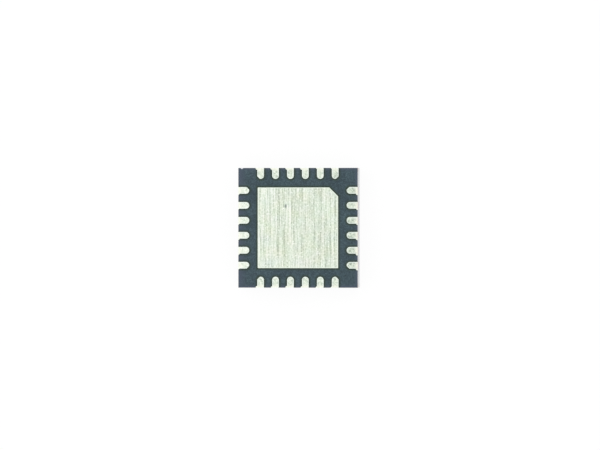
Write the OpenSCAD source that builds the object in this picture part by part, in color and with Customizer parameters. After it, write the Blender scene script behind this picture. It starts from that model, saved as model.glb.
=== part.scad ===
// Quad flat no-lead chip package, saw singulated, lying terminals up on its moulded face.
// The origin is the middle of the moulded face, at z = 0, and the seating plane is the top.
// Terminals are numbered clockwise as seen from above, from the top of the +X side,
// beside the cut corner of the exposed pad.

/* [Package] */
// Width and length of the square package
body_w = 4; // [3.85:0.05:5]
// Height from the moulded face to the seating plane
package_h = 0.85; // [0.75:0.01:1]
// Height that the terminals stand proud of the compound
standoff = 0.02; // [0.005:0.005:0.05]

/* [Lead frame] */
// Thickness of the copper sheet that the pad and the leads are etched from
frame_t = 0.2; // [0.15:0.01:0.25]
// Depth of the half etch, measured from the seating plane
etch_d = 0.1; // [0.06:0.01:0.12]

/* [Leads] */
// Number of leads on each side
leads_per_side = 6; // [3:1:6]
// Distance between the middles of neighbouring leads
lead_pitch = 0.5; // [0.4:0.01:0.52]
// Width of a lead
lead_w = 0.23; // [0.18:0.01:0.3]
// Length of a lead's exposed foot, from the package's edge to its round tip
lead_len = 0.37; // [0.3:0.01:0.45]
// Length that the half-etched ledge reaches past the foot's tip, inside the compound
lead_reach = 0.07; // [0.03:0.01:0.1]
// Leg of the 45 degree cut on the leads next to a package corner
corner_cut = 0.09; // [0.075:0.005:0.12]

/* [Saw smear] */
// Widest sideways smear that the saw leaves on a lead's cut end
smear_w = 0.06; // [0.03:0.005:0.09]
// Length of the smear inwards from the cut edge
smear_len = 0.07; // [0.04:0.005:0.1]
// Depth of the smear below the seating plane
smear_d = 0.06; // [0.055:0.005:0.1]
// Smallest smear, as a share of the widest
smear_least = 0.4; // [0.3:0.05:0.9]

/* [Exposed pad] */
// Width and length of the pad's exposed face
pad_w = 2.7; // [2.3:0.05:2.85]
// Leg of the cut corner that marks terminal one
pad_cut = 0.3; // [0.2:0.01:0.4]
// Width of the half-etched lip around the pad, inside the compound
pad_lip = 0.07; // [0.03:0.01:0.1]
// Width of the tie bars that run from the pad to the package's corners
tie_w = 0.16; // [0.1:0.01:0.18]

/* [Die] */
// Width and length of the silicon die
die_w = 2; // [1.4:0.05:2.2]
// Thickness of the die
die_t = 0.2; // [0.1:0.01:0.28]
// Thickness of the adhesive under the die
attach_t = 0.025; // [0.01:0.005:0.05]
// Width of the adhesive that squeezes out around the die
attach_rim = 0.05; // [0.02:0.01:0.08]

/* [Bond wires] */
// Diameter of a bond wire
wire_d = 0.025; // [0.018:0.001:0.035]
// Height of a wire's loop above the die
loop_h = 0.15; // [0.12:0.01:0.2]
// Radius of the bend at the top of the loop
bend_r = 0.06; // [0.04:0.005:0.08]
// Extra diameter of a wire in its bend
bend_swell = 0.0015; // [0.001:0.0005:0.003]
// Length that a wire's straight parts run on into its bend
wire_lap = 0.004; // [0.003:0.0005:0.005]
// Diameter of the squashed ball on the die
ball_d = 0.07; // [0.05:0.005:0.09]
// Height of the squashed ball
ball_h = 0.02; // [0.012:0.002:0.03]
// Diameter of the flattened stitch on the lead
stitch_d = 0.08; // [0.07:0.005:0.1]
// Thickness of the flattened stitch
stitch_t = 0.01; // [0.006:0.001:0.015]
// Distance from a lead's inner end to the middle of its stitch
stitch_setback = 0.17; // [0.14:0.01:0.22]
// Distance from the die's edge to the middle of a bond site
site_inset = 0.08; // [0.06:0.01:0.12]
// Distance from the die's corner to the first bond site
site_corner = 0.25; // [0.2:0.01:0.4]

/* [Terminal one dot] */
// Diameter of the laser-marked dot on the moulded face
dot_d = 0.4; // [0.2:0.05:0.6]
// Depth of the dot
dot_depth = 0.02; // [0.01:0.005:0.04]
// Distance from the package's edges to the middle of the dot
dot_inset = 0.55; // [0.4:0.05:0.9]

/* [Edge chip] */
// Radius of the small chip out of the compound's +Y edge
chip_r = 0.035; // [0.02:0.005:0.06]
// Distance from the -X end of that edge to the middle of the chip
chip_inset = 0.12; // [0.08:0.01:0.3]

/* [Hidden] */
SIDES = 4;
lead_count = SIDES * leads_per_side;
edge = body_w / 2;
// Levels, from the moulded face upwards
compound_top = package_h - standoff;
ledge_top = package_h - etch_d;
frame_low = package_h - frame_t;
attach_low = frame_low - attach_t;
die_face = attach_low - die_t;
// Straight neck of a wire, from the die to the start of the bend
neck_h = loop_h - bend_r;
// Distances between the first and the last of a row
lead_row = lead_pitch * (leads_per_side - 1);
site_row = die_w - 2 * site_corner;
// Room that a cutting solid takes past the face that it cuts
clear = 0.1;
// How much each lead is smeared, as a share of the widest smear
SMEAR_SEED = 4684;
smear_share = rands(smear_least, 1, lead_count, SMEAR_SEED);
// Outline of a smear from the cut edge inwards, as shares of its width and of its length
SMEAR_OUTLINE = [[1, 0], [1, 0.3], [0.75, 0.7], [0, 1]];

COMPOUND_COLOUR = "#48575e";
TIN_COLOUR = "#dee7d7";
SILICON_COLOUR = "#5b5f66";
ADHESIVE_COLOUR = "#b9b9b4";
GOLD_COLOUR = "#d9b35a";

$fn = 48;
WIRE_FN = 20;

function numbered(name, n) = str(name, n < 10 ? "_0" : "_", n);
function side_of(n) = floor((n - 1) / leads_per_side);
function place_of(n) = (n - 1) % leads_per_side;
// How far along its side a lead or a bond site lies, in the direction that the terminals count
function along(n, row) = row * (place_of(n) / (leads_per_side - 1) - 0.5);
// The side of a lead that faces a package corner: -1, 1, or 0 for an inner lead
function corner_side(n) = place_of(n) == 0 ? -1 : place_of(n) == leads_per_side - 1 ? 1 : 0;
// The saw travels in -Y along the +X and -X edges, and in -X along the other two
function smear_side(n) = side_of(n) < 2 ? 1 : -1;

// Turns a piece drawn on the +Y side to the side that terminal n is on
module on_side(n) {
    rotate(-90 * (side_of(n) + 1)) children();
}

// Plan of a lead of the given length: straight sides, half-round tip, and a cut beside a package corner
module lead_plan(length, cut_side) {
    difference() {
        union() {
            translate([-lead_w / 2, edge - length + lead_w / 2])
                square([lead_w, length - lead_w / 2]);
            translate([0, edge - length + lead_w / 2]) circle(d = lead_w);
        }
        if (cut_side != 0)
            translate([cut_side * lead_w / 2, edge - length])
                rotate(45) square(corner_cut * sqrt(2), center = true);
    }
}

// Tab of metal that the saw drags sideways from the cut end of a lead
module saw_smear(side, share) {
    translate([0, 0, package_h - smear_d])
        linear_extrude(smear_d)
            polygon([
                [0, edge],
                for (p = SMEAR_OUTLINE)
                    [side * (lead_w / 2 + smear_w * share * p.x), edge - smear_len * share * p.y],
                [0, edge - smear_len * share]
            ]);
}

// Lead: an exposed foot of full thickness over a longer half-etched ledge
module lead(n) {
    color(TIN_COLOUR)
        on_side(n)
            translate([along(n, lead_row), 0, 0]) {
                translate([0, 0, frame_low])
                    linear_extrude(frame_t) lead_plan(lead_len, corner_side(n));
                translate([0, 0, frame_low])
                    linear_extrude(ledge_top - frame_low)
                        lead_plan(lead_len + lead_reach, corner_side(n));
                saw_smear(smear_side(n), smear_share[n - 1]);
            }
}

// Exposed pad with its cut corner, half-etched lip and four tie bars, etched as one piece
module die_pad() {
    color(TIN_COLOUR)
        translate([0, 0, frame_low]) {
            linear_extrude(frame_t)
                polygon([
                    [-pad_w / 2, -pad_w / 2],
                    [pad_w / 2, -pad_w / 2],
                    [pad_w / 2, pad_w / 2 - pad_cut],
                    [pad_w / 2 - pad_cut, pad_w / 2],
                    [-pad_w / 2, pad_w / 2]
                ]);
            linear_extrude(ledge_top - frame_low) {
                square(pad_w + 2 * pad_lip, center = true);
                intersection() {
                    square(body_w, center = true);
                    for (turn = [45, 135])
                        rotate(turn) square([2 * body_w, tie_w], center = true);
                }
            }
        }
}

// Adhesive layer, a little wider than the die
module die_attach() {
    rim_w = die_w + 2 * attach_rim;
    color(ADHESIVE_COLOUR)
        translate([-rim_w / 2, -rim_w / 2, attach_low]) cube([rim_w, rim_w, attach_t]);
}

// Silicon die, with its circuit side down towards the moulded face
module die() {
    color(SILICON_COLOUR)
        translate([-die_w / 2, -die_w / 2, die_face]) cube([die_w, die_w, die_t]);
}

// Wire in its own upright plane, from a ball at the origin to a stitch at [span, 0, rise].
// It leaves the die downwards, bends round, and runs straight and tangent to the bend up to the lead.
module wire_loop(span, rise) {
    reach = norm([span - bend_r, rise + neck_h]);
    climb = atan2(rise + neck_h, span - bend_r) + asin(bend_r / reach);
    run = sqrt(reach * reach - bend_r * bend_r);
    $fn = WIRE_FN;
    translate([0, 0, -ball_h]) cylinder(h = ball_h, d = ball_d);
    translate([0, 0, -neck_h - wire_lap])
        cylinder(h = neck_h + wire_lap - ball_h / 2, d = wire_d);
    translate([bend_r, 0, -neck_h])
        rotate([90, 0, 0])
            rotate([0, 0, 180])
                rotate_extrude(angle = 90 + climb)
                    translate([bend_r, 0]) circle(d = wire_d + bend_swell);
    difference() {
        translate([bend_r, 0, -neck_h])
            rotate([0, -climb, 0])
                translate([-wire_lap, 0, -bend_r])
                    rotate([0, 90, 0]) cylinder(h = wire_lap + run + clear, d = wire_d);
        translate([0, -wire_d, rise]) cube([span + 2 * clear, 2 * wire_d, 2 * clear]);
    }
    translate([span, 0, rise - stitch_t]) cylinder(h = stitch_t, d = stitch_d);
}

// Bond wire from its site on the die to the inner end of its lead
module bond_wire(n) {
    site = [along(n, site_row), die_w / 2 - site_inset];
    stitch = [along(n, lead_row), edge - lead_len - lead_reach + stitch_setback];
    way = stitch - site;
    color(GOLD_COLOUR)
        on_side(n)
            translate([site.x, site.y, die_face])
                rotate(atan2(way.y, way.x))
                    wire_loop(norm(way), frame_low - die_face);
}

// Moulded compound: a sawn block that fills all the room around the lead frame, die and wires
module mould_body() {
    color(COMPOUND_COLOUR)
        difference() {
            translate([-edge, -edge, 0]) cube([body_w, body_w, compound_top]);
            die_pad();
            die_attach();
            die();
            for (n = [1:lead_count]) {
                lead(n);
                bond_wire(n);
            }
            translate([edge - dot_inset, edge - dot_inset, -clear])
                cylinder(h = dot_depth + clear, d = dot_d);
            translate([chip_inset - edge, edge, compound_top]) sphere(r = chip_r);
        }
}

mould_body();
die_pad();
die_attach();
die();
for (n = [1:lead_count]) {
    lead(n);
    bond_wire(n);
}
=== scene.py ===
"""Looks of a square leadless chip package that lies terminals up on a white bench.

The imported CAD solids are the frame. The compound body is a copy of its solid with worn saw edges and a
fine groove around the metal, and the exposed pad and the leads are stacks of outline loops with the soft
edges of plated metal. Shapes are worked out in millimetres and stored in metres.
"""

import math

import bmesh
import bpy
import numpy as np
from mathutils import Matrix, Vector


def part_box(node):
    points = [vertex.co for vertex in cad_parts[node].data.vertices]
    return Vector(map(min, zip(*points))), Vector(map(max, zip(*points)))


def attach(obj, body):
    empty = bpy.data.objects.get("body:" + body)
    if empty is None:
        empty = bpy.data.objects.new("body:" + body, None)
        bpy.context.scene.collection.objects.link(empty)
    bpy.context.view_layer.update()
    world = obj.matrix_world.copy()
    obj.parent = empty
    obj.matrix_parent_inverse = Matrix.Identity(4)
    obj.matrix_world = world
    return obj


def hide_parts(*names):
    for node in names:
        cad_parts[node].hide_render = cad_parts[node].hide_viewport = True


MM = 1e-3
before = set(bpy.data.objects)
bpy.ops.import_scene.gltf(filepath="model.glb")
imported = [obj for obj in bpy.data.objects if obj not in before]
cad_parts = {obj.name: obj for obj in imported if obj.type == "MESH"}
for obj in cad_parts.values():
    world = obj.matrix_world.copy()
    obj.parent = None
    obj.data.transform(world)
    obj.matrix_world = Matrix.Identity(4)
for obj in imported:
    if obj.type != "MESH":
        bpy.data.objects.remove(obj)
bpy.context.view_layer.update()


def mm_box(node):
    """Lowest and highest corner of a CAD node, in millimetres."""
    low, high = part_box(node)
    return np.array(low) / MM, np.array(high) / MM


# Sizes in millimetres, read from the frame where a node's box gives them
body_high = mm_box("mould_body")[1]
pad_low, pad_high = mm_box("die_pad")
EDGE = float(body_high[0])
SIDE = round(2 * EDGE, 3)
COMPOUND_TOP = float(body_high[2])
SOLDER_PLANE = float(pad_high[2])
FRAME_LOW = float(pad_low[2])
ETCH_DEPTH = 0.1
LEDGE_TOP = SOLDER_PLANE - ETCH_DEPTH
LEADS_PER_SIDE = 6
PITCH = 0.5
LEAD_WIDTH = 0.23
LEAD_FOOT = 0.37
LEAD_REACH = 0.07
CORNER_CUT = 0.09
# Distance from the cut edge to a point of a lead that its whole outline can be seen from
HUB_DEPTH = 0.04
# Length of a smear for its width, and its outline from the cut edge inwards as shares of both
SMEAR_SLOPE = 0.07 / 0.06
SMEAR_DEPTHS = (0, 0.3, 0.7, 1)
SMEAR_WIDTHS = (1, 1, 0.75, 0)
# Thickness of a smear, and the width that its outline is worked out for where there is none
SMEAR_THICKNESS = 0.06
LEAST_SMEAR = 0.001
PAD_HALF = 1.35
PAD_CUT = 0.3
PAD_LIP = 0.07
TIE_WIDTH = 0.16
# The chip out of the +Y edge, and the dot of terminal one on the moulded face
CHIP_INSET = 0.12
CHIP_AT = (CHIP_INSET - EDGE, EDGE)
CHIP_RADIUS = 0.035
DOT_INSET = 0.55
DOT_AT = EDGE - DOT_INSET
DOT_RADIUS = 0.2

# Softness of plated edges, and of sawn and moulded edges of the compound
PLATED_RADIUS = 0.014
PAD_CORNER = 0.025
WORN_EDGE = 0.010
STEP_SLOPE = 0.002
GROOVE_DEPTH = 0.005
# The faint hollow of a plated face: distances inside its soft edge, and depths there
HOLLOW_INSETS = np.array([0.012, 0.03, 0.055])
HOLLOW_DEPTHS = np.array([0.0005, 0.0015, 0.0025])
# Strength of the painted highlight on the plating's rim, up over the soft edge and on into the hollow
EDGE_HIGHLIGHT = (0.6, 0.8, 1, 1, 1, 0.9)
HOLLOW_HIGHLIGHT = (0.55, 0.12, 0)
# Chips of the saw's edge: spacing, depth of the common and of the rare ones, and power that makes those rare
CHIP_SPACING = 0.02
FINE_CHIP = 0.0025
DEEP_CHIP = 0.03
RARITY = 14

# Points on the stretches of an outline
SMEAR_POINTS = 11
SIDE_POINTS = 7
TIP_POINTS = 24
END_POINTS = 6
CORNER_POINTS = 13
PAD_EDGE_POINTS = 24
# Part of the pad's cut that holds most of its points
CUT_MIDDLE = (0.36, 0.64)
# Points closer than TOUCHING are one, and points closer than NEAR to a face lie on it
TOUCHING = 1e-5
NEAR = 1e-4
# Edges that bend more than this are crisp
CREASE = math.radians(40)
# A quarter turn, for rows of points
QUARTER = np.array([[0, 1], [-1, 0]])


def linear(colour):
    """Linear RGBA of an sRGB hex colour."""
    srgb = np.array([int(colour[i : i + 2], 16) for i in (0, 2, 4)]) / 255
    rgb = np.where(srgb > 0.04045, ((srgb + 0.055) / 1.055) ** 2.4, srgb / 12.92)
    return (*map(float, rgb), 1.0)


def add(tree, kind, settings=None, inputs=None, stops=None):
    """Adds one node.

    settings are its properties, inputs are values or sockets to link, and stops are a ramp's colours.
    """
    node = tree.nodes.new(kind)
    for name, value in (settings or {}).items():
        setattr(node, name, value)
    for name, value in (inputs or {}).items():
        if isinstance(value, bpy.types.NodeSocket):
            tree.links.new(value, node.inputs[name])
        else:
            node.inputs[name].default_value = value
    for number, (place, colour) in enumerate(stops or ()):
        elements = node.color_ramp.elements
        element = elements[number] if number < len(elements) else elements.new(place)
        element.position, element.color = place, linear(colour)
    return node


# Materials, with the sizes of their patterns in millimetres

# Compound: clouds, mottling, surface grain, filler beads under the skin, and beads cut by the saw
CLOUD = 0.769
MOTTLING = 0.07143
COMPOUND_GRAIN = 0.02174
FILLER = 0.025
CUT_BEAD = 0.02941
# Length and spacing of the saw's lines on the compound, and of tin dragged over the leads' cut ends
SAW_LINE = (0.6667, 0.020833)
DRAGGED_TIN = (0.2, 0.016667)
# Paler fringe that the saw leaves, and its width on the -X edge
FRINGE = 0.14
WIDE_FRINGE = 0.3
# Darker rim around the metal: width, and depths under the compound's face between which it fades out
DARK_RIM = 0.1
DARK_RIM_FADE = (0.07, 0.03)
# Soft rims of the laser-marked dot and of the chip's fracture
DOT_RIM = 0.004
FRACTURE_RIM = (0.006, 0.001)
# Cut end of a lead: distances inside the edge between which the cut starts, depths under the solder plane
# between which its copper becomes bare, and how far dragged tin moves those
CUT_FACE = (0.0055, 0.0025)
BARE_COPPER = (0.08, 0.13)
DRAG_REACH = 0.12
# Pad: width and length of broad and fine streaks and of grains, tinted patches, and spacing of bright spots
BROAD_STREAK = (0.1, 6.25)
FINE_STREAK = (0.03226, 1.0)
PLATING_GRAIN = (0.04545, 0.0625)
TINTED_PATCH = 0.4545
SPOT_SPACING = 0.2381
# One pit in the pad, painted as a dark spot of shade, with its width and length, and a burr beside it with
# its rims
PIT_AT = (-0.41, 0.726, SOLDER_PLANE)
PIT_SIZE = (0.04167, 0.07143)
BURR_AT = (-0.475, 0.649, SOLDER_PLANE)
BURR_RIM = (0.04, 0.015)
# Leads: coarse and fine grains, and the cleaner outer end
LEAD_GRAIN = 0.0625
LEAD_SPECK = 0.02778
CLEAN_END = 0.16
# Heights of the compound's grain, the pad's streaks and the leads' grains
COMPOUND_RELIEF = 0.004
STREAK_RELIEF = 0.003
LEAD_RELIEF = 0.004


def new_material(name):
    """Empty material with its node tree, its output, and Object coordinates in millimetres."""
    material = bpy.data.materials.new(name)
    material.use_nodes = True
    tree = material.node_tree
    tree.nodes.clear()
    output = add(tree, "ShaderNodeOutputMaterial")
    place = add(tree, "ShaderNodeTexCoord").outputs["Object"]
    mm = add(
        tree, "ShaderNodeVectorMath", {"operation": "SCALE"}, {0: place, "Scale": 1 / MM}
    ).outputs[0]
    return material, tree, output, mm


def edge_distance(tree, mm):
    """Sockets of x, y and z, of the larger of |x| and |y|, EDGE on a sawn wall, and of the smaller."""
    split = add(tree, "ShaderNodeSeparateXYZ", None, {0: mm})
    across = add(tree, "ShaderNodeMath", {"operation": "ABSOLUTE"}, {0: split.outputs[0]}).outputs[0]
    along = add(tree, "ShaderNodeMath", {"operation": "ABSOLUTE"}, {0: split.outputs[1]}).outputs[0]
    outer = add(tree, "ShaderNodeMath", {"operation": "MAXIMUM"}, {0: across, 1: along}).outputs[0]
    inner = add(tree, "ShaderNodeMath", {"operation": "MINIMUM"}, {0: across, 1: along}).outputs[0]
    return split.outputs[0], split.outputs[1], split.outputs[2], outer, inner


def slate_colour(tree, mm, x, outer):
    """Socket of the moulded faces' colour: dark slate in clouds and mottling, with filler beads that each
    have their own tone, and a paler, violet fringe along the saw's edge, widest on the -X edge."""
    clouds = add(
        tree, "ShaderNodeTexNoise", None, {"Vector": mm, "Scale": 1 / CLOUD, "Detail": 3.0}
    ).outputs[0]
    mottle = add(
        tree, "ShaderNodeTexNoise", None, {"Vector": mm, "Scale": 1 / MOTTLING, "Detail": 3.0}
    ).outputs[0]
    filler = add(
        tree, "ShaderNodeTexVoronoi", {"feature": "F1"}, {"Vector": mm, "Scale": 1 / FILLER}
    ).outputs["Color"]
    filler = add(tree, "ShaderNodeSeparateColor", None, {0: filler}).outputs[0]
    tone = add(
        tree, "ShaderNodeMath", {"operation": "MULTIPLY_ADD"}, {0: mottle, 1: 0.3, 2: 0.005}
    ).outputs[0]
    tone = add(
        tree, "ShaderNodeMath", {"operation": "MULTIPLY_ADD"}, {0: filler, 1: 0.27, 2: tone}
    ).outputs[0]
    tone = add(
        tree, "ShaderNodeMath", {"operation": "MULTIPLY_ADD"}, {0: clouds, 1: 0.4, 2: tone}
    ).outputs[0]
    slate = add(
        tree,
        "ShaderNodeValToRGB",
        None,
        {0: tone},
        [(0.3, "1d313a"), (0.5, "334952"), (0.7, "4a6169")],
    ).outputs[0]
    fringe = add(
        tree,
        "ShaderNodeMapRange",
        {"interpolation_type": "SMOOTHSTEP"},
        {0: outer, 1: EDGE - FRINGE, 2: EDGE, 3: 0.0, 4: 0.8},
    ).outputs[0]
    wide_fringe = add(
        tree, "ShaderNodeMapRange", None, {0: x, 1: WIDE_FRINGE - EDGE, 2: -EDGE, 3: 0.0, 4: 0.9}
    ).outputs[0]
    fringe = add(
        tree, "ShaderNodeMath", {"operation": "MAXIMUM"}, {0: fringe, 1: wide_fringe}
    ).outputs[0]
    return add(
        tree, "ShaderNodeMix", {"data_type": "RGBA"}, {0: fringe, 6: slate, 7: linear("475365")}
    ).outputs[2]


def metal_distance(tree, x, y, outer, inner):
    """Socket of the distance from the nearest metal of the terminal face, in millimetres.

    A lead is a capsule that repeats at the pitch along every edge, and the pad is a square with a cut corner.
    """
    row = add(
        tree, "ShaderNodeMath", {"operation": "MINIMUM"}, {0: inner, 1: PITCH * LEADS_PER_SIDE / 2}
    ).outputs[0]
    beside = add(tree, "ShaderNodeMath", {"operation": "PINGPONG"}, {0: row, 1: PITCH / 2}).outputs[0]
    beside = add(tree, "ShaderNodeMath", {"operation": "SUBTRACT"}, {0: PITCH / 2, 1: beside}).outputs[0]
    tip_centre = EDGE - LEAD_FOOT + LEAD_WIDTH / 2
    behind = add(tree, "ShaderNodeMath", {"operation": "SUBTRACT"}, {0: tip_centre, 1: outer}).outputs[0]
    behind = add(tree, "ShaderNodeMath", {"operation": "MAXIMUM"}, {0: behind, 1: 0.0}).outputs[0]
    way = add(tree, "ShaderNodeCombineXYZ", None, {0: beside, 1: behind}).outputs[0]
    from_lead = add(tree, "ShaderNodeVectorMath", {"operation": "LENGTH"}, {0: way}).outputs["Value"]
    from_lead = add(
        tree, "ShaderNodeMath", {"operation": "SUBTRACT"}, {0: from_lead, 1: LEAD_WIDTH / 2}
    ).outputs[0]
    from_pad = add(tree, "ShaderNodeMath", {"operation": "SUBTRACT"}, {0: outer, 1: PAD_HALF}).outputs[0]
    diagonal = add(tree, "ShaderNodeMath", {"operation": "ADD"}, {0: x, 1: y}).outputs[0]
    from_cut = add(
        tree,
        "ShaderNodeMath",
        {"operation": "MULTIPLY_ADD"},
        {0: diagonal, 1: math.sqrt(0.5), 2: -math.sqrt(0.5) * (2 * PAD_HALF - PAD_CUT)},
    ).outputs[0]
    from_pad = add(tree, "ShaderNodeMath", {"operation": "MAXIMUM"}, {0: from_pad, 1: from_cut}).outputs[0]
    return add(tree, "ShaderNodeMath", {"operation": "MINIMUM"}, {0: from_lead, 1: from_pad}).outputs[0]


def moulded_colour(tree, mm, x, y, z, outer, inner):
    """Socket of the moulded faces' colour: slate, darker towards the metal on the terminal face, almost
    black as painted shade in the groove beside the metal, and pale on the laser-marked dot."""
    colour = slate_colour(tree, mm, x, outer)
    # The darker rim lies on the terminal face alone
    from_metal = metal_distance(tree, x, y, outer, inner)
    dark_rim = add(
        tree,
        "ShaderNodeMapRange",
        {"interpolation_type": "SMOOTHSTEP"},
        {0: from_metal, 1: DARK_RIM, 2: 0.0},
    ).outputs[0]
    terminal_face = add(
        tree,
        "ShaderNodeMapRange",
        None,
        {0: z, 1: COMPOUND_TOP - DARK_RIM_FADE[0], 2: COMPOUND_TOP - DARK_RIM_FADE[1]},
    ).outputs[0]
    dark_rim = add(
        tree, "ShaderNodeMath", {"operation": "MULTIPLY"}, {0: dark_rim, 1: terminal_face}
    ).outputs[0]
    # Points of the groove beside the metal, painted near black as shade
    groove = add(tree, "ShaderNodeAttribute", {"attribute_name": "groove"}).outputs["Fac"]
    from_dot = add(
        tree, "ShaderNodeVectorMath", {"operation": "DISTANCE"}, {0: mm, 1: (DOT_AT, DOT_AT, 0.0)}
    ).outputs["Value"]
    dot = add(
        tree, "ShaderNodeMapRange", None, {0: from_dot, 1: DOT_RADIUS + DOT_RIM, 2: DOT_RADIUS - DOT_RIM}
    ).outputs[0]
    # The near black in the groove is painted shade
    for mask, shade in ((dark_rim, "1f3626"), (groove, "0d1712"), (dot, "8a8f8c")):
        colour = add(
            tree, "ShaderNodeMix", {"data_type": "RGBA"}, {0: mask, 6: colour, 7: linear(shade)}
        ).outputs[2]
    return colour


def sawn_colour(tree, mm):
    """Sockets of the sawn walls' colour, grey resin with cut beads as pale dots, and of the saw's lines."""
    beads = add(
        tree,
        "ShaderNodeTexVoronoi",
        {"feature": "F1"},
        {"Vector": mm, "Scale": 1 / CUT_BEAD, "Randomness": 1.0},
    )
    # Each cut bead has its own size, up to about 0.025 mm across
    size = add(tree, "ShaderNodeSeparateColor", None, {0: beads.outputs["Color"]}).outputs[0]
    reach = add(tree, "ShaderNodeMath", {"operation": "MULTIPLY"}, {0: size, 1: 0.42}).outputs[0]
    inside = add(
        tree, "ShaderNodeMath", {"operation": "SUBTRACT"}, {0: reach, 1: beads.outputs["Distance"]}
    ).outputs[0]
    bead = add(tree, "ShaderNodeMapRange", None, {0: inside, 1: -0.03, 2: 0.05}).outputs[0]
    length, spacing = SAW_LINE
    stretched = add(
        tree,
        "ShaderNodeVectorMath",
        {"operation": "MULTIPLY"},
        {0: mm, 1: (1 / length, 1 / length, 1 / spacing)},
    ).outputs[0]
    lines = add(
        tree, "ShaderNodeTexNoise", None, {"Vector": stretched, "Scale": 1.0, "Detail": 3.0}
    ).outputs[0]
    resin = add(
        tree,
        "ShaderNodeValToRGB",
        None,
        {0: lines},
        [(0.3, "575f66"), (0.5, "6d757c"), (0.7, "838b91")],
    ).outputs[0]
    colour = add(
        tree, "ShaderNodeMix", {"data_type": "RGBA"}, {0: bead, 6: resin, 7: linear("9ca3a6")}
    ).outputs[2]
    return colour, lines


def moulding_compound():
    """Epoxy moulding compound filled with silica beads. The moulded faces are an even dark slate with a fine
    matt grain, darker towards the metal on the terminal face. The sawn walls are greyer and smoother, with
    cut beads as pale dots and faint lines in the saw's direction."""
    material, tree, output, mm = new_material("moulding_compound")
    x, y, z, outer, inner = edge_distance(tree, mm)
    moulded = moulded_colour(tree, mm, x, y, z, outer, inner)
    sawn, lines = sawn_colour(tree, mm)
    wall = add(
        tree,
        "ShaderNodeMapRange",
        {"interpolation_type": "SMOOTHSTEP"},
        {0: outer, 1: EDGE - WORN_EDGE, 2: EDGE - WORN_EDGE / 10},
    ).outputs[0]
    colour = add(tree, "ShaderNodeMix", {"data_type": "RGBA"}, {0: wall, 6: moulded, 7: sawn}).outputs[2]
    # The chip out of the edge is a pale fresh fracture
    from_chip = add(
        tree, "ShaderNodeVectorMath", {"operation": "DISTANCE"}, {0: mm, 1: (*CHIP_AT, COMPOUND_TOP)}
    ).outputs["Value"]
    fracture = add(
        tree,
        "ShaderNodeMapRange",
        None,
        {0: from_chip, 1: CHIP_RADIUS + FRACTURE_RIM[0], 2: CHIP_RADIUS + FRACTURE_RIM[1]},
    ).outputs[0]
    colour = add(
        tree, "ShaderNodeMix", {"data_type": "RGBA"}, {0: fracture, 6: colour, 7: linear("e6e9ee")}
    ).outputs[2]
    grain = add(
        tree, "ShaderNodeTexNoise", None, {"Vector": mm, "Scale": 1 / COMPOUND_GRAIN, "Detail": 2.0}
    ).outputs[0]
    bump = add(
        tree, "ShaderNodeBump", None, {"Strength": 0.3, "Distance": COMPOUND_RELIEF * MM, "Height": grain}
    ).outputs[0]
    matt = add(tree, "ShaderNodeMapRange", None, {0: grain, 1: 0.3, 2: 0.7, 3: 0.5, 4: 0.66}).outputs[0]
    silky = add(tree, "ShaderNodeMapRange", None, {0: lines, 1: 0.3, 2: 0.7, 3: 0.05, 4: 0.11}).outputs[0]
    rough = add(tree, "ShaderNodeMix", {"data_type": "FLOAT"}, {0: wall, 2: matt, 3: silky}).outputs[0]
    shader = add(
        tree,
        "ShaderNodeBsdfPrincipled",
        None,
        {"Base Color": colour, "Roughness": rough, "IOR": 1.5, "Normal": bump},
    )
    tree.links.new(shader.outputs[0], output.inputs[0])
    return material


def cut_copper(tree, mm, z, outer):
    """Sockets of the mask and the colour of a sawn lead end: bare copper under streaks of dragged tin."""
    mask = add(
        tree, "ShaderNodeMapRange", None, {0: outer, 1: EDGE - CUT_FACE[0], 2: EDGE - CUT_FACE[1]}
    ).outputs[0]
    length, spacing = DRAGGED_TIN
    stretched = add(
        tree,
        "ShaderNodeVectorMath",
        {"operation": "MULTIPLY"},
        {0: mm, 1: (1 / length, 1 / length, 1 / spacing)},
    ).outputs[0]
    drag = add(
        tree, "ShaderNodeTexNoise", None, {"Vector": stretched, "Scale": 1.0, "Detail": 4.0}
    ).outputs[0]
    colour = add(
        tree,
        "ShaderNodeValToRGB",
        None,
        {0: drag},
        [(0.34, "a9714f"), (0.48, "cd9a75"), (0.58, "e0bea2"), (0.7, "ebe4d6")],
    ).outputs[0]
    # The blade drags the plating a few hundredths of a millimetre down the cut
    height = add(
        tree, "ShaderNodeMath", {"operation": "MULTIPLY_ADD"}, {0: drag, 1: -DRAG_REACH, 2: z}
    ).outputs[0]
    bare = add(
        tree,
        "ShaderNodeMapRange",
        None,
        {0: height, 1: SOLDER_PLANE - BARE_COPPER[0], 2: SOLDER_PLANE - BARE_COPPER[1]},
    ).outputs[0]
    mask = add(tree, "ShaderNodeMath", {"operation": "MULTIPLY"}, {0: mask, 1: bare}).outputs[0]
    return mask, colour


def brushed_streaks(tree, mm, x):
    """Socket of the brushed face's streaks: broad and fine ones along Y, with grains drawn out by the brush.
    They are a little paler towards -X, which is painted light falling from that side."""
    layers = []
    for (width, length), detail in ((BROAD_STREAK, 3.0), (FINE_STREAK, 4.0), (PLATING_GRAIN, 1.0)):
        stretched = add(
            tree,
            "ShaderNodeVectorMath",
            {"operation": "MULTIPLY"},
            {0: mm, 1: (1 / width, 1 / length, 1.0)},
        ).outputs[0]
        noise = add(
            tree, "ShaderNodeTexNoise", None, {"Vector": stretched, "Scale": 1.0, "Detail": detail}
        ).outputs[0]
        layers.append(noise)
    streak = -0.045
    # The weight on x paints light from the -X side: the streaks grow paler towards -X
    for layer, weight in zip([*layers, x], (0.33, 0.48, 0.29, -0.007)):
        streak = add(
            tree, "ShaderNodeMath", {"operation": "MULTIPLY_ADD"}, {0: layer, 1: weight, 2: streak}
        ).outputs[0]
    return streak


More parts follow.
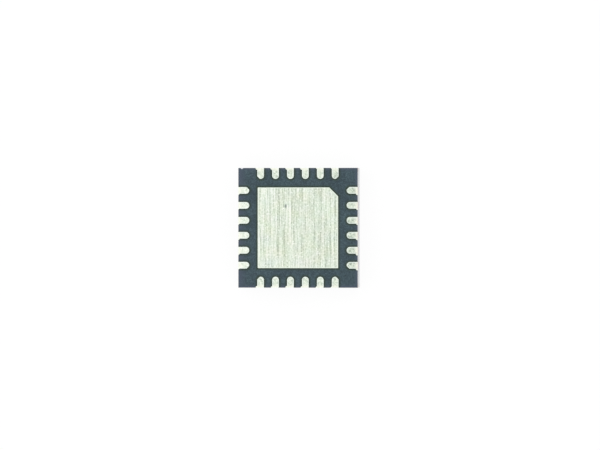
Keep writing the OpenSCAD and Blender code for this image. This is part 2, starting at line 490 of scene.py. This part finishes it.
def plating_marks(tree, mm, tin):
    """Socket of the tin's colour with bright spots of plating about 0.04 mm across, one in every few tenths
    of a millimetre, and one pit near the upper left of the pad, painted as a dark spot of shade, with a
    bright burr below it."""
    cells = add(
        tree,
        "ShaderNodeTexVoronoi",
        {"feature": "F1", "voronoi_dimensions": "2D"},
        {"Vector": mm, "Scale": 1 / SPOT_SPACING},
    )
    spots = add(
        tree, "ShaderNodeMapRange", None, {0: cells.outputs["Distance"], 1: 0.13, 2: 0.05, 3: 0.0, 4: 0.75}
    ).outputs[0]
    from_pit = add(
        tree, "ShaderNodeVectorMath", {"operation": "SUBTRACT"}, {0: mm, 1: PIT_AT}
    ).outputs[0]
    from_pit = add(
        tree,
        "ShaderNodeVectorMath",
        {"operation": "MULTIPLY"},
        {0: from_pit, 1: (1 / PIT_SIZE[0], 1 / PIT_SIZE[1], 1.0)},
    ).outputs[0]
    from_pit = add(tree, "ShaderNodeVectorMath", {"operation": "LENGTH"}, {0: from_pit}).outputs["Value"]
    pit = add(
        tree, "ShaderNodeMapRange", None, {0: from_pit, 1: 1.25, 2: 0.4, 3: 0.0, 4: 0.85}
    ).outputs[0]
    from_burr = add(
        tree, "ShaderNodeVectorMath", {"operation": "DISTANCE"}, {0: mm, 1: BURR_AT}
    ).outputs["Value"]
    burr = add(
        tree, "ShaderNodeMapRange", None, {0: from_burr, 1: BURR_RIM[0], 2: BURR_RIM[1]}
    ).outputs[0]
    # The pit's grey is painted shade, in place of a hollow in the mesh
    for mask, shade in ((spots, "fbfff6"), (pit, "808a84"), (burr, "fbfff6")):
        tin = add(
            tree, "ShaderNodeMix", {"data_type": "RGBA"}, {0: mask, 6: tin, 7: linear(shade)}
        ).outputs[2]
    return tin


def brushed_tin():
    """Matt tin plate on the exposed pad, brushed along Y. The eye sees fine pale and grey-green streaks as
    long as the pad, a painted highlight along its rounded rim, and a few bright grains."""
    material, tree, output, mm = new_material("brushed_tin_plate")
    x, _, z, outer, _ = edge_distance(tree, mm)
    streak = brushed_streaks(tree, mm, x)
    tin = add(
        tree,
        "ShaderNodeValToRGB",
        None,
        {0: streak},
        [(0.37, "b2bcac"), (0.45, "d0dac9"), (0.505, "dee8d8"), (0.555, "ebf3e5"), (0.62, "fafdf5")],
    ).outputs[0]
    # Faintly tinted patches about half a millimetre across, in which red, green and blue vary by themselves
    patches = add(
        tree, "ShaderNodeTexNoise", None, {"Vector": mm, "Scale": 1 / TINTED_PATCH, "Detail": 2.0}
    ).outputs["Color"]
    tint = add(
        tree,
        "ShaderNodeVectorMath",
        {"operation": "MULTIPLY_ADD"},
        {0: patches, 1: (0.15, 0.05, 0.22), 2: (0.912, 0.958, 0.865)},
    ).outputs[0]
    tin = add(
        tree, "ShaderNodeMix", {"data_type": "RGBA", "blend_type": "MULTIPLY"}, {0: 1.0, 6: tin, 7: tint}
    ).outputs[2]
    tin = plating_marks(tree, mm, tin)
    # Painted highlight along the plating's rounded rim, on top of the real soft edge
    rim = add(tree, "ShaderNodeAttribute", {"attribute_name": "rim"}).outputs["Fac"]
    tin = add(
        tree, "ShaderNodeMix", {"data_type": "RGBA"}, {0: rim, 6: tin, 7: linear("eef8ec")}
    ).outputs[2]
    cut, copper = cut_copper(tree, mm, z, outer)
    colour = add(tree, "ShaderNodeMix", {"data_type": "RGBA"}, {0: cut, 6: tin, 7: copper}).outputs[2]
    bump = add(
        tree, "ShaderNodeBump", None, {"Strength": 0.25, "Distance": STREAK_RELIEF * MM, "Height": streak}
    ).outputs[0]
    gloss = add(
        tree, "ShaderNodeMapRange", None, {0: streak, 1: 0.38, 2: 0.64, 3: 0.52, 4: 0.36}
    ).outputs[0]
    shader = add(
        tree,
        "ShaderNodeBsdfPrincipled",
        None,
        {"Base Color": colour, "Metallic": 1.0, "Roughness": gloss, "Normal": bump},
    )
    tree.links.new(shader.outputs[0], output.inputs[0])
    return material


def mottled_tin():
    """Matt tin plate on the leads, not brushed: coarse pale grains over grey, palest on the -X edge as
    painted light from that side, with painted highlights on the rounded rims and a cleaner outer end. The
    sawn end is bare copper."""
    material, tree, output, mm = new_material("mottled_tin_plate")
    x, _, z, outer, _ = edge_distance(tree, mm)
    mottle = add(
        tree, "ShaderNodeTexNoise", None, {"Vector": mm, "Scale": 1 / LEAD_GRAIN, "Detail": 1.0}
    ).outputs[0]
    specks = add(
        tree, "ShaderNodeTexNoise", None, {"Vector": mm, "Scale": 1 / LEAD_SPECK, "Detail": 1.0}
    ).outputs[0]
    # Painted light from the -X side: x cubed makes the tin paler towards -X
    painted_light_toward_minus_x = add(tree, "ShaderNodeMath", {"operation": "POWER"}, {0: x, 1: 3.0}).outputs[0]
    tone = 0.009
    for layer, weight in ((mottle, 0.55), (specks, 0.45), (painted_light_toward_minus_x, -0.014)):
        tone = add(
            tree, "ShaderNodeMath", {"operation": "MULTIPLY_ADD"}, {0: layer, 1: weight, 2: tone}
        ).outputs[0]
    tin = add(
        tree,
        "ShaderNodeValToRGB",
        None,
        {0: tone},
        [(0.3, "a3afa1"), (0.42, "cad6c6"), (0.53, "e0ead9"), (0.68, "fafef4")],
    ).outputs[0]
    end = add(
        tree,
        "ShaderNodeMapRange",
        {"interpolation_type": "SMOOTHSTEP"},
        {0: outer, 1: EDGE - CLEAN_END, 2: EDGE, 3: 0.0, 4: 0.8},
    ).outputs[0]
    tin = add(
        tree, "ShaderNodeMix", {"data_type": "RGBA"}, {0: end, 6: tin, 7: linear("fdfdf0")}
    ).outputs[2]
    # Painted highlight along the rounded rims, on top of the real soft edge
    rim = add(tree, "ShaderNodeAttribute", {"attribute_name": "rim"}).outputs["Fac"]
    rim = add(tree, "ShaderNodeMath", {"operation": "MULTIPLY"}, {0: rim, 1: 0.75}).outputs[0]
    tin = add(
        tree, "ShaderNodeMix", {"data_type": "RGBA"}, {0: rim, 6: tin, 7: linear("f2fbf7")}
    ).outputs[2]
    cut, copper = cut_copper(tree, mm, z, outer)
    colour = add(tree, "ShaderNodeMix", {"data_type": "RGBA"}, {0: cut, 6: tin, 7: copper}).outputs[2]
    bump = add(
        tree, "ShaderNodeBump", None, {"Strength": 0.4, "Distance": LEAD_RELIEF * MM, "Height": mottle}
    ).outputs[0]
    gloss = add(
        tree, "ShaderNodeMapRange", None, {0: mottle, 1: 0.3, 2: 0.7, 3: 0.55, 4: 0.38}
    ).outputs[0]
    shader = add(
        tree,
        "ShaderNodeBsdfPrincipled",
        None,
        {"Base Color": colour, "Metallic": 1.0, "Roughness": gloss, "Normal": bump},
    )
    tree.links.new(shader.outputs[0], output.inputs[0])
    return material


def inner_finish(name, dark, pale, size, metallic, roughness):
    """Finish of a piece sealed in the compound: two tones mixed by noise of the given size in millimetres."""
    material, tree, output, mm = new_material(name)
    noise = add(
        tree, "ShaderNodeTexNoise", None, {"Vector": mm, "Scale": 1 / size, "Detail": 3.0}
    ).outputs[0]
    colour = add(
        tree, "ShaderNodeValToRGB", None, {0: noise}, [(0.35, dark), (0.65, pale)]
    ).outputs[0]
    gloss = add(
        tree, "ShaderNodeMapRange", None, {0: noise, 1: 0.3, 2: 0.7, 3: roughness, 4: roughness + 0.12}
    ).outputs[0]
    shader = add(
        tree,
        "ShaderNodeBsdfPrincipled",
        None,
        {"Base Color": colour, "Metallic": metallic, "Roughness": gloss},
    )
    tree.links.new(shader.outputs[0], output.inputs[0])
    return material


COMPOUND = moulding_compound()
PAD_TIN = brushed_tin()
LEAD_TIN = mottled_tin()
# Polished silicon, dark and glossy with faint clouds
SILICON = inner_finish("polished_silicon", "4c5158", "666b74", 0.1111, 0.0, 0.16)
# Cured adhesive, grey and speckled by its silver flakes
ADHESIVE = inner_finish("silver_filled_adhesive", "9d9d98", "cfcfca", 0.016667, 0.0, 0.35)
# Gold wire, bright with fine marks from drawing
GOLD = inner_finish("drawn_gold", "c9a044", "e6c470", 0.0125, 1.0, 0.22)
INNER_FINISHES = {"die": SILICON, "die_attach": ADHESIVE}


# Pieces


def add_piece(mesh, material, stands_for):
    """Object of a finished mesh, riding on the only body and standing for a CAD node."""
    mesh.materials.append(material)
    piece = bpy.data.objects.new(mesh.name, mesh)
    bpy.context.scene.collection.objects.link(piece)
    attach(piece, "root")
    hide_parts(stands_for)


def loop_stack(name, rings, hub, rim):
    """Closed mesh from a stack of loops with as many points each, lowest first, in millimetres.

    Quad (k, i) joins points i and i + 1 of loop k to those of loop k + 1. A fan closes each end: its
    triangle i joins points i and i + 1 to the hub, a place in x and y that sees the whole outline.
    rim, the strength of the painted highlight along a plated edge, is stored on the points, one value per
    loop.
    """
    count, points = rings.shape[:2]
    k, i = np.meshgrid(np.arange(count - 1), np.arange(points), indexing="ij")
    here, there = k * points + i, k * points + (i + 1) % points
    quads = np.stack([here, there, there + points, here + points], -1).reshape(-1, 4)
    low_hub, top_hub = np.full(points, count * points), np.full(points, count * points + 1)
    low_fan = np.stack([there[0], here[0], low_hub], -1)
    top_fan = np.stack([here[-1] + points, there[-1] + points, top_hub], -1)
    hubs = [[*hub, rings[0, 0, 2]], [*hub, rings[-1, 0, 2]]]
    vertices = np.concatenate([rings.reshape(-1, 3), hubs])
    mesh = bpy.data.meshes.new(name)
    mesh.from_pydata((vertices * MM).tolist(), [], quads.tolist() + low_fan.tolist() + top_fan.tolist())
    mesh.shade_smooth()
    mesh.set_sharp_from_angle(angle=CREASE)
    values = np.append(np.repeat(rim, points), [rim[0], rim[-1]]).astype(np.float32)
    mesh.attributes.new("rim", "FLOAT", "POINT").data.foreach_set("value", values)
    return mesh


def raised(outlines, heights):
    """Rings of a stack: outlines in x and y, each lifted to its height."""
    return np.concatenate([outlines, np.repeat(heights[:, None, None], outlines.shape[1], 1)], 2)


def plated_levels(low_levels):
    """Heights, insets and rim values of a plated piece, from its low levels up over its soft top edge.

    The edge is a quarter circle of PLATED_RADIUS, and the face inside it is a few micrometres hollow.
    """
    turn = np.linspace(0, math.pi / 2, len(EDGE_HIGHLIGHT))
    edge_heights = SOLDER_PLANE - PLATED_RADIUS * (1 - np.sin(turn))
    edge_insets = PLATED_RADIUS * (1 - np.cos(turn))
    heights = np.concatenate([low_levels, edge_heights, SOLDER_PLANE - HOLLOW_DEPTHS])
    insets = np.concatenate([np.zeros(len(low_levels)), edge_insets, PLATED_RADIUS + HOLLOW_INSETS])
    # rim holds the strength of the painted highlight along the plated edge
    rim = np.concatenate([np.zeros(len(low_levels)), EDGE_HIGHLIGHT, HOLLOW_HIGHLIGHT])
    return heights, insets, rim


def lead_loop(inset, length, smear, smear_side, cut_side):
    """Outline of a lead on the +Y side, counter-clockwise from the -X end of its cut edge.

    Straight sides at half the width, a half circle of the same radius at the tip, a smear that widens one
    side towards the cut edge, and, beside a package corner, points beyond a 45 degree line pushed back onto
    it.
    """
    half = LEAD_WIDTH / 2 - inset
    centre = EDGE - length + LEAD_WIDTH / 2
    straight = length - LEAD_WIDTH / 2
    smear_length = max(smear, LEAST_SMEAR) * SMEAR_SLOPE
    smeared = np.linspace(0, smear_length, SMEAR_POINTS)
    depth = np.concatenate([smeared, np.linspace(smear_length, straight, SIDE_POINTS)[1:]])
    flare = smear * np.interp(depth / smear_length, SMEAR_DEPTHS, SMEAR_WIDTHS)
    # The cut edge stays crisp: its round is a quarter of the one along the sides
    trim = inset / 4
    depth = trim + depth * (1 - trim / straight)
    left_x = -half - flare * (smear_side < 0)
    right_x = half + flare * (smear_side > 0)
    turn = math.pi * (1 + np.linspace(0, 1, TIP_POINTS + 2)[1:-1])
    share = np.linspace(0, 1, END_POINTS + 2)[1:-1]
    end_x = right_x[0] + (left_x[0] - right_x[0]) * share
    end_y = np.full(END_POINTS, EDGE - trim)
    x = np.concatenate([left_x, half * np.cos(turn), right_x[::-1], end_x])
    y = np.concatenate([EDGE - depth, centre + half * np.sin(turn), EDGE - depth[::-1], end_y])
    if cut_side:
        limit = LEAD_WIDTH / 2 - (EDGE - length) - CORNER_CUT - inset * math.sqrt(2)
        beyond = np.clip(cut_side * x - y - limit, 0, None) / 2
        x, y = x - cut_side * beyond, y + beyond
    return np.stack([x, y], 1)


def lead_foot(number):
    """One lead: a long half-etched ledge, a step up to the shorter foot, the saw's smear, and a soft face."""
    node = f"lead_{number:02d}"
    side, place = divmod(number - 1, LEADS_PER_SIDE)
    low, high = mm_box(node)
    across = 1 if side % 2 == 0 else 0
    smear = float((high - low)[across]) - LEAD_WIDTH
    smear_side = 1 if side < 2 else -1
    cut_side = {0: -1, LEADS_PER_SIDE - 1: 1}.get(place, 0)
    # Two levels of ledge, two of foot, and the rest with the smear
    smear_low = SOLDER_PLANE - SMEAR_THICKNESS
    heights, insets, rim = plated_levels(
        [FRAME_LOW, LEDGE_TOP - STEP_SLOPE, LEDGE_TOP, smear_low, smear_low + STEP_SLOPE]
    )
    lengths = np.full(len(heights), LEAD_FOOT)
    lengths[:2] += LEAD_REACH
    smears = np.full(len(heights), smear)
    smears[:4] = 0
    outlines = np.stack(
        [
            lead_loop(inset, length, width, smear_side, cut_side)
            for inset, length, width in zip(insets, lengths, smears)
        ]
    )
    shift = PITCH * (place - (LEADS_PER_SIDE - 1) / 2)
    outlines[:, :, 0] += shift
    spin = np.linalg.matrix_power(QUARTER, 3 - side)
    hub = np.array([shift, EDGE - HUB_DEPTH]) @ spin
    mesh = loop_stack(f"lead_foot_{number:02d}", raised(outlines @ spin, heights), hub, rim)
    add_piece(mesh, LEAD_TIN, node)


def quarter_turns(points):
    """The four copies of a run of points, each a quarter turn on from the last."""
    return [points @ np.linalg.matrix_power(QUARTER, turns) for turns in range(4)]


def closed_run(corners):
    """Loop through four corner runs, with straight edges of PAD_EDGE_POINTS points between them."""
    share = np.linspace(0, 1, PAD_EDGE_POINTS + 2)[1:-1, None]
    runs = []
    for corner, following in zip(corners, corners[1:] + corners[:1]):
        runs += [corner, corner[-1] + (following[0] - corner[-1]) * share]
    return np.concatenate(runs)


def pad_loop(inset):
    """Outline of the exposed face: a square with three small round corners and one cut corner at +X +Y."""
    half = PAD_HALF - inset
    turn = np.linspace(0, math.pi / 2, CORNER_POINTS)
    round_run = half - PAD_CORNER + PAD_CORNER * np.stack([np.cos(turn), np.sin(turn)], 1)
    leg = PAD_CUT - inset * (2 - math.sqrt(2))
    # Most points lie in the middle of the cut, where the tie bar starts behind it
    share = np.concatenate([[0], np.linspace(*CUT_MIDDLE, CORNER_POINTS - 2), [1]])
    cut_run = np.stack([half - leg * share, half - leg * (1 - share)], 1)
    return closed_run([cut_run] + quarter_turns(round_run)[1:])


def tie_loop():
    """Outline of the half-etched level: a square lip with a tie bar from each corner to a package corner."""
    lip = PAD_HALF + PAD_LIP
    flank = TIE_WIDTH / math.sqrt(2)
    x = np.array([lip, EDGE, EDGE, EDGE - flank, lip - flank])
    place = np.linspace(0, len(x) - 1, CORNER_POINTS)
    # The bar is the same on both sides of the diagonal, so y runs through the values of x backwards
    run = np.stack([np.interp(place, np.arange(len(x)), values) for values in (x, x[::-1])], 1)
    return closed_run(quarter_turns(run))


def exposed_pad():
    """Die pad: the lip with its tie bars, a step up to the exposed outline, and a soft brushed face."""
    heights, insets, rim = plated_levels([FRAME_LOW, LEDGE_TOP - STEP_SLOPE, LEDGE_TOP])
    rim[-2:] = 0
    outlines = np.stack([tie_loop(), tie_loop()] + [pad_loop(inset) for inset in insets[2:]])
    mesh = loop_stack("exposed_pad", raised(outlines, heights), (0, 0), rim)
    add_piece(mesh, PAD_TIN, "die_pad")


# The sawn rim is cut into runs of this length at most, by halving it up to this often
LONGEST_RUN = 0.045
HALVINGS = 8
# Upright edges in a package corner that are shorter than this stay crisp
SHORTEST_CORNER = 0.05
# Distances from the chip, in radii of it, inside which rims stay crisp and have no other chips
CRISP_CHIP = 1.6
LONE_CHIP = 2
# A face is flat if its normal has a part this large along an axis
FLAT_NORMAL = 0.9995
# Faces that meet at a smaller angle than this become one
SAME_PLANE = math.radians(0.05)
CHIP_SEED = 24


def on_outline(edge):
    """Whether an edge is upright in a package corner, or level on a sawn wall."""
    a, b = (vertex.co for vertex in edge.verts)
    same_x = abs(a.x - b.x) < TOUCHING and abs(a.x) > EDGE - NEAR
    same_y = abs(a.y - b.y) < TOUCHING and abs(a.y) > EDGE - NEAR
    return (same_x or same_y) and (same_x and same_y or abs(a.z - b.z) < TOUCHING)


def is_rim(edge):
    """Whether an edge of the compound is worn: on the package's outline, or around the metal's openings."""
    if len(edge.link_faces) != 2 or edge.calc_face_angle() < CREASE:
        return False
    a, b = (vertex.co for vertex in edge.verts)
    rise = abs(a.z - b.z)
    at_face = min(abs(a.z), abs(a.z - COMPOUND_TOP)) < NEAR
    if on_outline(edge) and (at_face or rise > NEAR):
        return rise < TOUCHING or rise > SHORTEST_CORNER
    level = abs(a.z - COMPOUND_TOP) < NEAR and abs(b.z - COMPOUND_TOP) < NEAR
    middle = (a + b) / 2
    from_chip = math.hypot(middle.x - CHIP_AT[0], middle.y - CHIP_AT[1])
    return level and from_chip > CRISP_CHIP * CHIP_RADIUS


def is_long_rim(edge):
    """Whether an edge is a level stretch of the worn outline that is too long to chip finely."""
    a, b = (vertex.co for vertex in edge.verts)
    level = abs(a.z - b.z) < TOUCHING
    return is_rim(edge) and on_outline(edge) and level and edge.calc_length() > LONGEST_RUN


def eased_solid():
    """Mesh in millimetres of the compound's solid, with its worn rims rounded by WORN_EDGE."""
    shape = bmesh.new()
    shape.from_mesh(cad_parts["mould_body"].data)
    bmesh.ops.scale(shape, vec=Vector((1, 1, 1)) / MM, verts=shape.verts)
    bmesh.ops.remove_doubles(shape, verts=shape.verts, dist=TOUCHING)
    # Each flat face becomes one outline, so that points moved along its rim can't fold it
    bmesh.ops.dissolve_limit(
        shape,
        angle_limit=SAME_PLANE,
        use_dissolve_boundaries=False,
        verts=shape.verts,
        edges=shape.edges,
    )
    shape.normal_update()
    for _ in range(HALVINGS):
        long_rims = [edge for edge in shape.edges if is_long_rim(edge)]
        if not long_rims:
            break
        bmesh.ops.bisect_edges(shape, edges=long_rims, cuts=1)
    bmesh.ops.bevel(
        shape,
        geom=[edge for edge in shape.edges if is_rim(edge)],
        offset=WORN_EDGE,
        offset_type="OFFSET",
        segments=3,
        profile=0.5,
        affect="EDGES",
        clamp_overlap=False,
    )
    bmesh.ops.remove_doubles(shape, verts=shape.verts, dist=TOUCHING)
    bmesh.ops.recalc_face_normals(shape, faces=shape.faces)
    mesh = bpy.data.meshes.new("sawn_body")
    shape.to_mesh(mesh)
    shape.free()
    return mesh


def worn_points(points):
    """Points of the eased solid with its rims worn, and a mask of those beside the metal.

    On the saw's edge a point moves in and down by a seeded noise of its place along the edge, raised to a
    high power so that few chips are deep. Beside the metal the round becomes a groove GROOVE_DEPTH deep.
    """
    points = points.copy()
    outward = np.abs(points[:, :2])
    outer = outward.max(1)
    height = points[:, 2].copy()
    height_share = np.clip((height - COMPOUND_TOP + WORN_EDGE) / WORN_EDGE, 0, 1)
    wall_share = np.clip((outer - EDGE + WORN_EDGE) / WORN_EDGE, 0, 1)
    at_rim = (height > COMPOUND_TOP - WORN_EDGE - TOUCHING) & (height < COMPOUND_TOP + TOUCHING)
    at_saw = at_rim & (outer > EDGE - WORN_EDGE - TOUCHING)
    at_metal = at_rim & ~at_saw & (height < COMPOUND_TOP - TOUCHING)
    from_chip = np.hypot(points[:, 0] - CHIP_AT[0], points[:, 1] - CHIP_AT[1])
    dice = np.random.default_rng(CHIP_SEED)
    knots = np.arange(0, 4 * SIDE, CHIP_SPACING)
    depth = FINE_CHIP * dice.random(len(knots)) + DEEP_CHIP * dice.random(len(knots)) ** RARITY
    # Places run along the four sides, one side after the other
    on_x_side = outward[:, 0] > outward[:, 1]
    run = np.where(on_x_side, points[:, 1], points[:, 0]) + EDGE
    start = np.where(on_x_side, 0, 2 * SIDE) + np.where(points[:, :2].sum(1) > 0, 0, SIDE)
    chip = np.interp(run + start, knots, depth) * at_saw * (from_chip > LONE_CHIP * CHIP_RADIUS)
    for axis in (0, 1):
        near = outward[:, axis] > EDGE - WORN_EDGE - TOUCHING
        points[:, axis] -= np.sign(points[:, axis]) * chip * height_share * near
    points[:, 2] -= chip * wall_share
    points[at_metal, 2] = COMPOUND_TOP - GROOVE_DEPTH * (1 - height_share[at_metal])
    return points, at_metal


def sawn_body():
    """Compound body: a copy of its solid with eased rims, chipped by the saw and grooved at the metal."""
    mesh = eased_solid()
    points = np.zeros(len(mesh.vertices) * 3)
    mesh.vertices.foreach_get("co", points)
    points, at_metal = worn_points(points.reshape(-1, 3))
    mesh.vertices.foreach_set("co", (points * MM).ravel())
    mesh.update()
    # The flat faces are cut into triangles only now, with their rims in place, so that none is without area
    shape = bmesh.new()
    shape.from_mesh(mesh)
    flat_faces = [face for face in shape.faces if len(face.verts) > 4]
    bmesh.ops.triangulate(shape, faces=flat_faces, ngon_method="BEAUTY")
    shape.to_mesh(mesh)
    shape.free()
    mesh.attributes.new("groove", "FLOAT", "POINT").data.foreach_set("value", at_metal.astype(np.float32))
    # The moulded and sawn planes stay flat, and only the worn rims are smooth
    mesh.set_sharp_from_angle(angle=CREASE)
    normals = np.zeros(len(mesh.polygons) * 3)
    mesh.polygons.foreach_get("normal", normals)
    mesh.polygons.foreach_set("use_smooth", np.abs(normals.reshape(-1, 3)).max(1) < FLAT_NORMAL)
    add_piece(mesh, COMPOUND, "mould_body")


sawn_body()
exposed_pad()
for number in range(1, 4 * LEADS_PER_SIDE + 1):
    lead_foot(number)

for name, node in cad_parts.items():
    finish = GOLD if name.startswith("bond_wire") else INNER_FINISHES.get(name)
    if finish:
        node.data.materials.clear()
        node.data.materials.append(finish)


# White bench, soft light and the camera, in millimetres, degrees and watts

BENCH_REACH = 400.0
BENCH_DROP = 0.001
WINDOW_RIM = 0.03
LAMP_PLACE = (-90, 40, 90)
LAMP_SIZE = 80
LAMP_POWER = 0.011
AMBIENT = 0.86
CAMERA_LEAN = 5.0
CAMERA_DISTANCE = 160.0
SENSOR_WIDTH = 36.0
CLIP_START = 1.0
CLIP_END = 10000.0
# Picture points to a millimetre at the solder plane, and across the picture
PICTURE_SCALE = 29.96
PICTURE_WIDTH = 600
AIM = Vector((0.0715, 0.0938, SOLDER_PLANE))


def white_paint():
    """Matt white of the bench. The camera sees it almost white with a faint shadow of the chip, reflections
    see it white, and from below it is clear, so that the moulded face can be looked at."""
    material = bpy.data.materials.new("white_bench")
    material.use_nodes = True
    tree = material.node_tree
    tree.nodes.clear()
    output = add(tree, "ShaderNodeOutputMaterial")
    path = add(tree, "ShaderNodeLightPath")
    mirrored = add(
        tree,
        "ShaderNodeMath",
        {"operation": "MAXIMUM"},
        {0: path.outputs["Is Glossy Ray"], 1: path.outputs["Is Transmission Ray"]},
    ).outputs[0]
    paper = add(tree, "ShaderNodeBsdfDiffuse", None, {"Color": (0.8, 0.8, 0.8, 1)}).outputs[0]
    faint = add(tree, "ShaderNodeBsdfDiffuse", None, {"Color": (0.11, 0.11, 0.11, 1)}).outputs[0]
    glow = add(tree, "ShaderNodeEmission", None, {"Strength": 0.915}).outputs[0]
    seen = add(tree, "ShaderNodeAddShader", None, {0: faint, 1: glow}).outputs[0]
    white = add(tree, "ShaderNodeEmission", None, {"Strength": 1.0}).outputs[0]
    shown = add(
        tree, "ShaderNodeMixShader", None, {0: path.outputs["Is Camera Ray"], 1: paper, 2: seen}
    ).outputs[0]
    shown = add(tree, "ShaderNodeMixShader", None, {0: mirrored, 1: shown, 2: white}).outputs[0]
    under = add(tree, "ShaderNodeNewGeometry").outputs["Backfacing"]
    clear = add(tree, "ShaderNodeBsdfTransparent").outputs[0]
    shown = add(tree, "ShaderNodeMixShader", None, {0: under, 1: shown, 2: clear}).outputs[0]
    tree.links.new(shown, output.inputs[0])
    return material


def bench():
    """Large white bench top, flat at the chip's foot, as four panels around a window that the chip covers.

    Through the window, light reaches the moulded face when the chip is looked at from below.
    """
    square = np.array([[-1, -1], [1, -1], [1, 1], [-1, 1]])
    corners = np.concatenate([BENCH_REACH * square, (EDGE - WINDOW_RIM) * square])
    corners = np.column_stack([corners, np.full(len(corners), -BENCH_DROP)])
    panels = [(i, (i + 1) % 4, (i + 1) % 4 + 4, i + 4) for i in range(4)]
    mesh = bpy.data.meshes.new("bench")
    mesh.from_pydata((corners * MM).tolist(), [], panels)
    mesh.materials.append(white_paint())
    floor = bpy.data.objects.new("bench", mesh)
    bpy.context.scene.collection.objects.link(floor)


def white_surroundings():
    """World that is white to the camera and in reflections, and lights the chip evenly at AMBIENT."""
    world = bpy.data.worlds.new("white_room")
    bpy.context.scene.world = world
    world.use_nodes = True
    tree = world.node_tree
    tree.nodes.clear()
    output = add(tree, "ShaderNodeOutputWorld")
    path = add(tree, "ShaderNodeLightPath")
    seen = add(
        tree,
        "ShaderNodeMath",
        {"operation": "MAXIMUM"},
        {0: path.outputs["Is Camera Ray"], 1: path.outputs["Is Glossy Ray"]},
    ).outputs[0]
    seen = add(
        tree,
        "ShaderNodeMath",
        {"operation": "MAXIMUM"},
        {0: seen, 1: path.outputs["Is Transmission Ray"]},
    ).outputs[0]
    level = add(tree, "ShaderNodeMapRange", None, {0: seen, 3: AMBIENT, 4: 1.0}).outputs[0]
    sky = add(tree, "ShaderNodeBackground", None, {"Color": (1, 1, 1, 1), "Strength": level}).outputs[0]
    tree.links.new(sky, output.inputs[0])


def softbox():
    """Square lamp to the left and above, aimed at the chip."""
    lamp = bpy.data.lights.new("softbox_left", "AREA")
    lamp.shape = "SQUARE"
    lamp.size = LAMP_SIZE * MM
    lamp.energy = LAMP_POWER
    holder = bpy.data.objects.new("softbox_left", lamp)
    holder.location = Vector(LAMP_PLACE) * MM
    holder.rotation_euler = (-Vector(LAMP_PLACE)).to_track_quat("-Z", "Y").to_euler()
    bpy.context.scene.collection.objects.link(holder)


def place_camera():
    """Long lens that leans CAMERA_LEAN degrees towards +X, at the photograph's scale at the solder plane."""
    lens = bpy.data.cameras.new("camera")
    lens.sensor_width = SENSOR_WIDTH
    lens.lens = SENSOR_WIDTH * CAMERA_DISTANCE * PICTURE_SCALE / PICTURE_WIDTH
    lens.clip_start = CLIP_START * MM
    lens.clip_end = CLIP_END * MM
    holder = bpy.data.objects.new("camera", lens)
    lean = math.radians(CAMERA_LEAN)
    holder.location = (AIM + CAMERA_DISTANCE * Vector((math.sin(lean), 0, math.cos(lean)))) * MM
    holder.rotation_euler = (0, lean, 0)
    bpy.context.scene.collection.objects.link(holder)
    bpy.context.scene.camera = holder


bench()
white_surroundings()
softbox()
place_camera()
bpy.context.scene.view_settings.view_transform = "Standard"
